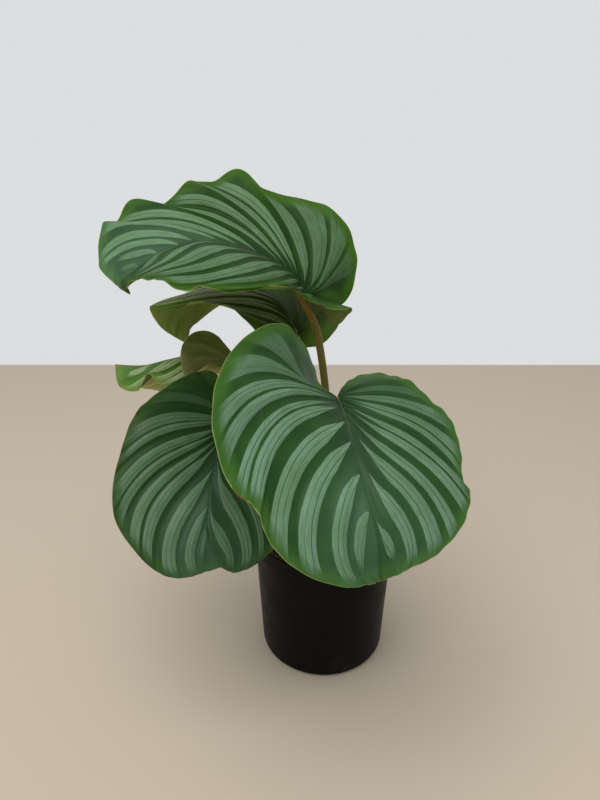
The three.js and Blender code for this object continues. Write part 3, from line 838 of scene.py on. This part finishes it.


# The tip sheen among these shades is a painted reflection, laid on towards the tip.
waxy_shades = {
    "margin": 0x3C6820, "green": 0x20461A, "deep": 0x173618, "silver": 0x688C65, "frost": 0x739679,
    "vein": 0x547349, "midrib": 0x6C7F58, "tip_sheen": 0x7FA98F, "back": 0x646E34, "back_margin_and_light": 0x74803A,
    "back_band": 0x80845A, "back_rib": 0x8E9658, "line": 0x9CA85E, "dry": 0x6E4A2B, "glow": 0x7FAE2E,
}
waxy_leaf = leaf_skin("waxy_striped_leaf", waxy_shades)

# A fleshy stalk: olive green below, orange brown towards its joint, smooth with faint lengthwise veins.
fleshy_stalk, tree = new_material("fleshy_leaf_stalk")
place = add(tree, "ShaderNodeTexCoord", out="Object")
rise = add(tree, "ShaderNodeAttribute", out="Fac", attribute_name="rise")
length = add(tree, "ShaderNodeVectorMath", {0: place, 1: (900.0, 900.0, 40.0)}, operation="MULTIPLY")
thread = add(tree, "ShaderNodeTexNoise", {"Vector": length, "Scale": 1.0, "Detail": 3.0})
cloud = add(tree, "ShaderNodeTexNoise", {"Vector": place, "Scale": 70.0, "Detail": 4.0})
high = add(tree, "ShaderNodeMath", {0: cloud, 1: 0.3, 2: rise}, operation="MULTIPLY_ADD")
veined = add(tree, "ShaderNodeMapRange", {0: thread, 1: 0.4, 2: 0.72, 4: 0.4})
flesh = add(tree, "ShaderNodeBsdfPrincipled", {
    "Base Color": coated(
        tree, paint(0x4A4C10), (paint(0x724F10), (high, 0.62, 1.0)), (paint(0x4A5824), (high, 0.5, 0.25)),
        (paint(0x6B6620), veined),
    ),
    "Normal": add(tree, "ShaderNodeBump", {"Height": thread, "Strength": 0.4, "Distance": 0.0002}),
    "Roughness": 0.44, "IOR": 1.42, "Specular IOR Level": 0.3, "Subsurface Weight": 0.12,
    "Subsurface Scale": 0.002,
})
add(tree, "ShaderNodeOutputMaterial", {"Surface": flesh})

# A leaf is given in mm, or in shares from its joint to its tip: the course of its stalk, midrib and margins,
# how much each half arches and is gathered, how its side veins bend, how wide its bare green margin is, where
# its bands begin and end, each band's start, end and strength, and how far its stalk has turned orange.
FLAT = [0] * len(BEND_ROWS)
FULL_PULL = [
    ([0, 0.28, 0.36, 0.45, 0.6, 0.8, 1], [0.2, 0.1, 0.07, 0.05, 0.04, 0.03, 0.01]),
    ([0, 0.25, 0.45, 0.84, 0.9, 1], [1.1, 1.1, 1.2, 1.2, 0.66, 0.5]),
]
usual_leaf = {
    "fan": 3.6, "ripple": 1, "left_gather": (0, 0, 0), "right_gather": (0, 0, 0), "left_pull": FULL_PULL,
    "right_pull": FULL_PULL,
}
front_leaf = {
    **usual_leaf, "seed": 1, "root": (4, -14), "stalk": [(8, -30, 215), (9, -52, 300)],
    "midrib": [
        (7, -63, 326), (11, -105, 326), (15, -143, 319), (20, -169, 306), (25, -190, 288), (29, -205, 268),
        (32, -209, 242),
    ],
    "left": [
        (12, -46, 328), (27, -28, 333), (56, -32, 336), (74, -46, 334), (92, -68, 323), (105, -92, 312),
        (107, -114, 297), (105, -138, 283), (108, -152, 275), (95, -176, 265), (76, -196, 258),
        (55, -210, 256), (43, -214, 252),
    ],
    "right": [
        (-13, -42, 332), (-15, -32, 350), (-39, -58, 391), (-66, -98, 394), (-83, -140, 381),
        (-87, -180, 357), (-73, -207, 319), (-56, -214, 307), (-49, -220, 289), (-34, -226, 271),
        (-14, -225, 256), (9, -219, 245), (24, -213, 243),
    ],
    "left_arch": [0.16, 0.18, 0.1], "right_arch": [0, 0.2, 0.26, 0.2, 0.1],
    "right_gather": (-11.5, -13.3, -3.6),
    "left_bend": ([0, 0.06, 0.16, 0.22, 0.14, 0.09, 0.03, 0], FLAT, [0, 0, 0.01, 0.01, 0.015, 0.03, 0.01, 0]),
    "right_bend": (FLAT, [0, 0, 0.008, 0.016, 0.01, -0.008, 0, 0], [0, 0, 0.03, 0.03, 0.042, 0.06, 0.02, 0]),
    "ripeness": 0.6,
    "left_bare": [11, 9, 6, 4, 4, 6, 10], "right_bare": [10, 9, 8, 7, 5, 5, 9],
    "left_pull": [
        ([0, 0.28, 0.36, 0.5, 0.65, 0.8, 1], [0.2, 0.1, 0.07, 0.05, 0.06, 0.08, 0.08]), FULL_PULL[1],
    ],
    "left_bands": [
        (0.272, 0.31, 0.35), (0.35, 0.405, 0.7), (0.438, 0.481, 0.9), (0.489, 0.518, 0.9), (0.566, 0.611, 1),
        (0.621, 0.653, 1), (0.683, 0.715, 1), (0.735, 0.783, 1), (0.813, 0.857, 1), (0.893, 0.937, 0.85),
    ],
    "right_bands": [
        (0.185, 0.246, 0.42), (0.274, 0.326, 0.72), (0.353, 0.387, 0.9), (0.394, 0.42, 0.9),
        (0.447, 0.478, 1), (0.488, 0.537, 1), (0.593, 0.656, 1), (0.689, 0.742, 1), (0.788, 0.84, 1),
        (0.866, 0.91, 0.8),
    ],
}
grow("front", front_leaf, waxy_leaf)

# Top leaf
# The highest leaf. It points left, its far half stands up behind the midrib and its waved margin shows
# against the light. Its long stalk is the only one in full view.

# The same waxy skin with less gloss, its colours painted darker, a little greyer and yellower, as shade.
shade_darkened_leaf = leaf_skin("shade_darkened_striped_leaf", {
    **waxy_shades, "margin": 0x3C6613, "green": 0x1E3F0F, "deep": 0x163010, "silver": 0x66875E,
    "frost": 0x71926D, "vein": 0x4D6B42, "midrib": 0x5F6E48, "line": 0x86944A, "dry": 0x5E3D26,
}, 0.14)

top_leaf = {
    **usual_leaf, "seed": 2, "root": (8, 4), "stalk": [(4, 1, 260), (-8, -4, 360)],
    "midrib": [
        (-18, -11, 403), (-31, -10, 423), (-47, -14, 436), (-70, -22, 447), (-100, -32, 457),
        (-120, -43, 457), (-141, -56, 451), (-159, -68, 439), (-170, -76, 431), (-166, -66, 418),
    ],
    "left": [
        (-5, 10, 387), (11, 16, 371), (24, 8, 389), (7, -14, 392), (-18, -36, 407), (-43, -60, 425),
        (-61, -84, 426), (-80, -98, 427), (-98, -104, 432), (-116, -104, 430), (-133, -98, 436),
        (-147, -92, 436), (-163, -84, 430),
    ],
    "right": [
        (-1, 14, 394), (19, 26, 391), (30, 42, 427), (22, 54, 458), (-1, 62, 479), (-28, 66, 486),
        (-60, 68, 493), (-85, 72, 513), (-111, 64, 501), (-133, 54, 502), (-156, 44, 482), (-182, 32, 487),
        (-196, 16, 468), (-204, 2, 466), (-200, -34, 439), (-180, -62, 427),
    ],
    "left_arch": [0.1, 0.2, 0.12], "right_arch": [0.12, 0.12, 0.1],
    "left_bend": ([0, 0, 0.03, 0.08, 0.11, 0.11, 0.02, 0], FLAT, [0, 0, 0.04, 0.08, 0.11, 0.12, 0.03, 0]),
    "right_bend": (FLAT, [0, -0.01, -0.01, 0.008, 0, 0, 0, 0], [0, 0, 0.04, 0.05, 0.05, 0.04, 0.01, 0]),
    "ripeness": 1.0,
    "left_bare": [6, 5, 4], "right_bare": [9, 7, 5, 4],
    "left_bands": [
        (0.3, 0.34, 0.5), (0.4, 0.44, 0.7), (0.49, 0.53, 0.8), (0.565, 0.608, 0.85), (0.64, 0.694, 0.9),
        (0.716, 0.75, 0.9), (0.768, 0.806, 0.9), (0.83, 0.858, 0.85), (0.884, 0.908, 0.6),
    ],
    "right_bands": [
        (0.11, 0.162, 0.3), (0.178, 0.232, 0.5), (0.247, 0.312, 0.6), (0.342, 0.392, 0.75),
        (0.445, 0.476, 0.9), (0.486, 0.518, 0.9), (0.555, 0.584, 0.9), (0.602, 0.631, 0.9),
        (0.69, 0.718, 0.95), (0.729, 0.756, 0.95), (0.764, 0.798, 0.95), (0.822, 0.844, 1), (0.851, 0.87, 1),
        (0.883, 0.905, 0.85), (0.918, 0.932, 0.35),
    ],
}
grow("top", top_leaf, shade_darkened_leaf)

# Side leaf
# Low on the left and behind the front leaf, hanging steeply from a short stalk, so its broad face shows
# in the shade of the others.

# The same skin painted darker all over, with greyer silver, as shade on a leaf under the others; its
# margin line is thin and brown.
shade_painted_leaf = leaf_skin("shade_painted_striped_leaf", {
    **waxy_shades, "margin": 0x2F521A, "green": 0x23411D, "deep": 0x1A351A, "silver": 0x5E7C5A,
    "frost": 0x688667, "vein": 0x4A6845, "midrib": 0x5F6E48, "line": 0x5C5234, "dry": 0x523322,
})

side_leaf = {
    **usual_leaf, "seed": 3, "root": (-13, -7), "stalk": [(-34, -8, 185), (-70, -4, 250)],
    "midrib": [
        (-90, -10, 282), (-102, -32, 268), (-106, -52, 255), (-109, -72, 242), (-109, -88, 231),
        (-109, -103, 216), (-104, -113, 200), (-97, -118, 184),
    ],
    "left": [
        (-76, -6, 285), (-52, -2, 294), (-32, -10, 284), (-23, -28, 262), (-22, -46, 238), (-28, -66, 215),
        (-41, -86, 197), (-55, -102, 186), (-72, -110, 177), (-86, -115, 176),
    ],
    "right": [
        (-95, -8, 303), (-108, -4, 327), (-127, -6, 329), (-149, -18, 322), (-169, -34, 311),
        (-181, -54, 299), (-187, -76, 278), (-191, -96, 256), (-187, -113, 229), (-167, -127, 205),
        (-150, -131, 189), (-131, -132, 183), (-112, -126, 184),
    ],
    "left_arch": [0.1, 0.16, 0.1], "right_arch": [0.1, 0.16, 0.1],
    "left_bend": ([0, 0.06, 0.16, 0.22, 0.16, 0.1, 0.01, 0], FLAT, [0, 0, 0.02, 0.03, 0.04, 0.04, 0.01, 0]),
    "right_bend": ([0, 0.08, 0.22, 0.22, 0.13, 0.02, 0, 0], FLAT, [0, 0, 0.04, 0.05, 0.06, 0.05, 0.01, 0]),
    "ripeness": 0.5,
    "left_bare": [8, 5, 6], "right_bare": [9, 5, 6],
    "left_pull": [FULL_PULL[0], (FULL_PULL[1][0], [1.1, 1.1, 1.2, 1.2, 0.95, 0.6])],
    "left_bands": front_leaf["left_bands"][:6] + [(0.69, 0.717, 1), (0.755, 0.818, 1), (0.875, 0.925, 0.9)],
    "right_bands": [
        (0.26, 0.31, 0.3), (0.375, 0.425, 0.85), (0.433, 0.465, 0.9), (0.505, 0.548, 1), (0.556, 0.588, 1),
        (0.612, 0.645, 1), (0.656, 0.698, 1), (0.742, 0.8, 1), (0.842, 0.887, 0.95), (0.91, 0.926, 0.4),
    ],
}
grow("side", side_leaf, shade_painted_leaf)

# Rear leaf
# Under the top leaf and going to the back left. Its end droops and shows its olive lower side.

# The same skin with little gloss, its colours painted a dull olive as the shade under the top leaf;
# its silver has all but gone on one half.
shade_dulled_leaf = leaf_skin("shade_dulled_olive_leaf", {
    **waxy_shades, "margin": 0x4A6C0E, "green": 0x334C04, "deep": 0x263A00, "silver": 0x858F62,
    "frost": 0x8F986C, "vein": 0x586236, "midrib": 0x5C6A24, "back": 0x839540, "back_margin_and_light": 0x8F9F4C,
    "back_band": 0x949E62, "line": 0x86904A, "dry": 0x5E3D26, "glow": 0x7C9E2C,
}, 0.1)

rear_leaf = {
    **usual_leaf, "seed": 4, "ripple": 0.3, "root": (-1, 22), "stalk": [(-2, 24, 215), (-26, 22, 320)],
    "midrib": [
        (-28, 20, 359), (-43, 36, 385), (-65, 60, 397), (-95, 84, 398), (-121, 102, 390), (-139, 114, 374),
        (-151, 120, 355), (-157, 119, 337), (-159, 115, 322),
    ],
    "left": [
        (-35, 18, 342), (-51, 8, 345), (-63, 0, 360), (-72, -2, 374), (-83, 4, 383), (-96, 14, 390),
        (-114, 30, 388), (-133, 48, 387), (-157, 62, 375), (-180, 80, 371), (-192, 96, 370), (-193, 108, 356),
        (-184, 114, 339), (-170, 116, 328),
    ],
    "right": [
        (-20, 36, 341), (-3, 52, 340), (15, 74, 354), (18, 98, 377), (-6, 126, 405), (-49, 146, 415),
        (-90, 154, 409), (-118, 152, 388), (-132, 144, 363), (-135, 138, 353), (-145, 132, 344),
        (-154, 126, 338), (-158, 120, 330),
    ],
    "left_arch": [0.12, 0.14, 0.08], "right_arch": [0.12, 0.14, 0.08],
    "left_bend": side_leaf["right_bend"], "right_bend": side_leaf["left_bend"], "ripeness": 0.7,
    "left_bare": [7, 5, 5], "right_bare": [22, 14, 5],
    "left_bands": side_leaf["right_bands"],
    "right_bands": [(start, end, 0.06 * strength) for start, end, strength in front_leaf["right_bands"]],
}
grow("rear", rear_leaf, shade_dulled_leaf)

# Young leaf
# The newest leaf, on the left: smaller, lighter, still soft and twisted, so part of it shows from below.

# A leaf that has just opened: thin and yellow green, with cream bands, and a margin below painted
# pale as light.
soft_leaf = leaf_skin("soft_young_leaf", {
    **waxy_shades,
    "margin": 0x769A30, "green": 0x507C1C, "deep": 0x3E6A18, "silver": 0xB6C88E, "frost": 0xC2D0A0,
    "vein": 0x90AC62, "midrib": 0xA0AE6C, "back": 0x66722E, "back_margin_and_light": 0xDCD692, "back_band": 0xA6A66C,
    "back_rib": 0x5E6034, "line": 0xAAB46C, "dry": 0x7A5A34, "glow": 0x93B045,
})

young_leaf = {
    **usual_leaf, "seed": 5, "fan": 2.2, "ripple": 0.4, "root": (-17, 11),
    "stalk": [(-30, 24, 210), (-66, 56, 285)],
    "midrib": [
        (-87, 62, 310), (-103, 54, 319), (-117, 48, 328), (-132, 42, 335), (-150, 38, 331), (-167, 38, 327),
        (-193, 40, 320), (-221, 42, 321),
    ],
    "left": [
        (-99, 56, 326), (-110, 46, 348), (-120, 38, 358), (-133, 30, 359), (-142, 18, 352), (-144, 6, 338),
        (-142, 4, 312), (-166, 8, 311), (-180, 14, 320), (-194, 18, 300), (-215, 28, 302),
    ],
    "right": [
        (-91, 70, 293), (-107, 74, 297), (-125, 76, 298), (-142, 72, 298), (-155, 68, 293), (-168, 62, 286),
        (-181, 60, 284), (-193, 58, 287), (-204, 54, 291), (-217, 48, 304),
    ],
    "left_arch": [0.1, 0.05, 0], "right_arch": [0.05, -0.05, -0.15],
    "left_bend": side_leaf["left_bend"], "right_bend": side_leaf["right_bend"], "ripeness": 0.3,
    "left_bare": [5, 4, 4], "right_bare": [5, 4, 4],
    "left_bands": front_leaf["left_bands"], "right_bands": side_leaf["right_bands"],
}
grow("young", young_leaf, soft_leaf, "young_leaf_blade")

# Floor
# A plain pale floor that ends about a metre behind the plant.
pale_screed, tree = new_material("plain_pale_floor")
screed = add(tree, "ShaderNodeBsdfPrincipled", {"Base Color": paint(0xB8AB98), "Roughness": 0.8})
add(tree, "ShaderNodeOutputMaterial", {"Surface": screed})
reach = 0.98
corners = [(-reach, -reach, 0), (reach, -reach, 0), (reach, reach, 0), (-reach, reach, 0)]
piece_from("floor", corners, [[0, 1, 2, 3]], pale_screed)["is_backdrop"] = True

# Light
# Soft daylight: a pale room all round, and one big soft light above and a little in front.
scene.view_settings.view_transform = "Standard"
room = bpy.data.worlds.new("pale_room")
room.use_nodes = True
room.node_tree.nodes.clear()
glow = add(room.node_tree, "ShaderNodeBackground", {"Color": paint(0xEDEEF0), "Strength": 0.85})
add(room.node_tree, "ShaderNodeOutputWorld", {"Surface": glow})
scene.world = room
window = bpy.data.objects.new("window_light", bpy.data.lights.new("window_light", "AREA"))
window.data.shape = "DISK"
window.data.size = 1.6
window.data.energy = 24
window.location = (-0.35, -0.7, 1.85)
window.rotation_euler = (Vector((-0.05, -0.05, 0.3)) - window.location).to_track_quat("-Z", "Y").to_euler()
scene.collection.objects.link(window)

low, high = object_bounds()
